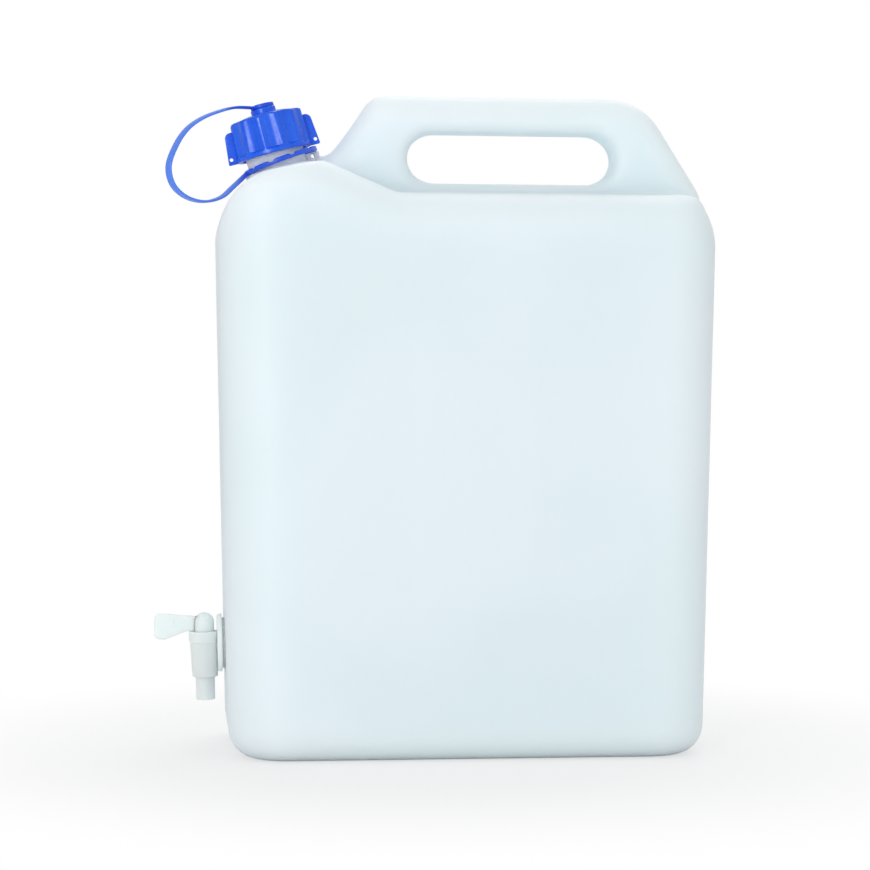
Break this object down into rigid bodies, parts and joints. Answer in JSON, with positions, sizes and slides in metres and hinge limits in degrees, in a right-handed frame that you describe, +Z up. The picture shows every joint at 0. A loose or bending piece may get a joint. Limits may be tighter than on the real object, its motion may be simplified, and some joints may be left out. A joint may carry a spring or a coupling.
{
  "type": "water canister with tap",
  "caption": "Flat blow-moulded water canister with a carrying handle, a strapped screw cap on a slanted neck and a turn-key tap low on one side.",
  "frame": {"origin": "middle of the can's foot, on the surface it stands on", "axes": "+Z up, +X to the right of the broad front face (the tap is at -X), +Y to the back"},
  "size_m": [0.3381, 0.1664, 0.4],
  "materials": {
    "can": "satin translucent polyethylene",
    "cap": "glossy blue polypropylene",
    "strap": "glossy blue soft plastic",
    "tap": "satin translucent polyethylene",
    "seal": "matt pale silicone"
  },
  "bodies": {
    "can": {"can_body": "can", "tap_body": "tap", "tap_washer": "seal", "cap_strap": "strap"},
    "cap_seal": {"cap_gasket": "seal"},
    "cap": {"screw_cap": "cap"},
    "tap_key": {"tap_plug": "tap"}
  },
  "joints": [
    {"name": "cap_lift", "type": "slide", "parent": "can", "child": "cap_seal", "axis": [-0.2588, 0, 0.9659], "range_m": [0, 0.0121], "deforming": ["cap_strap"]},
    {"name": "cap_turn", "type": "hinge", "parent": "cap_seal", "child": "cap", "pos_m": [-0.11608, 0, 0.36992], "axis": [-0.2588, 0, 0.9659], "range_deg": [0, 720]},
    {"name": "tap_turn", "type": "hinge", "parent": "can", "child": "tap_key", "pos_m": [-0.15686, 0, 0.06402], "axis": [-0.0228, 0, 0.9997], "range_deg": [-90, 90]}
  ],
  "couplings": [
    {"joint": "cap_lift", "follows": "cap_turn", "m_per_rad": 0.00095493}
  ]
}
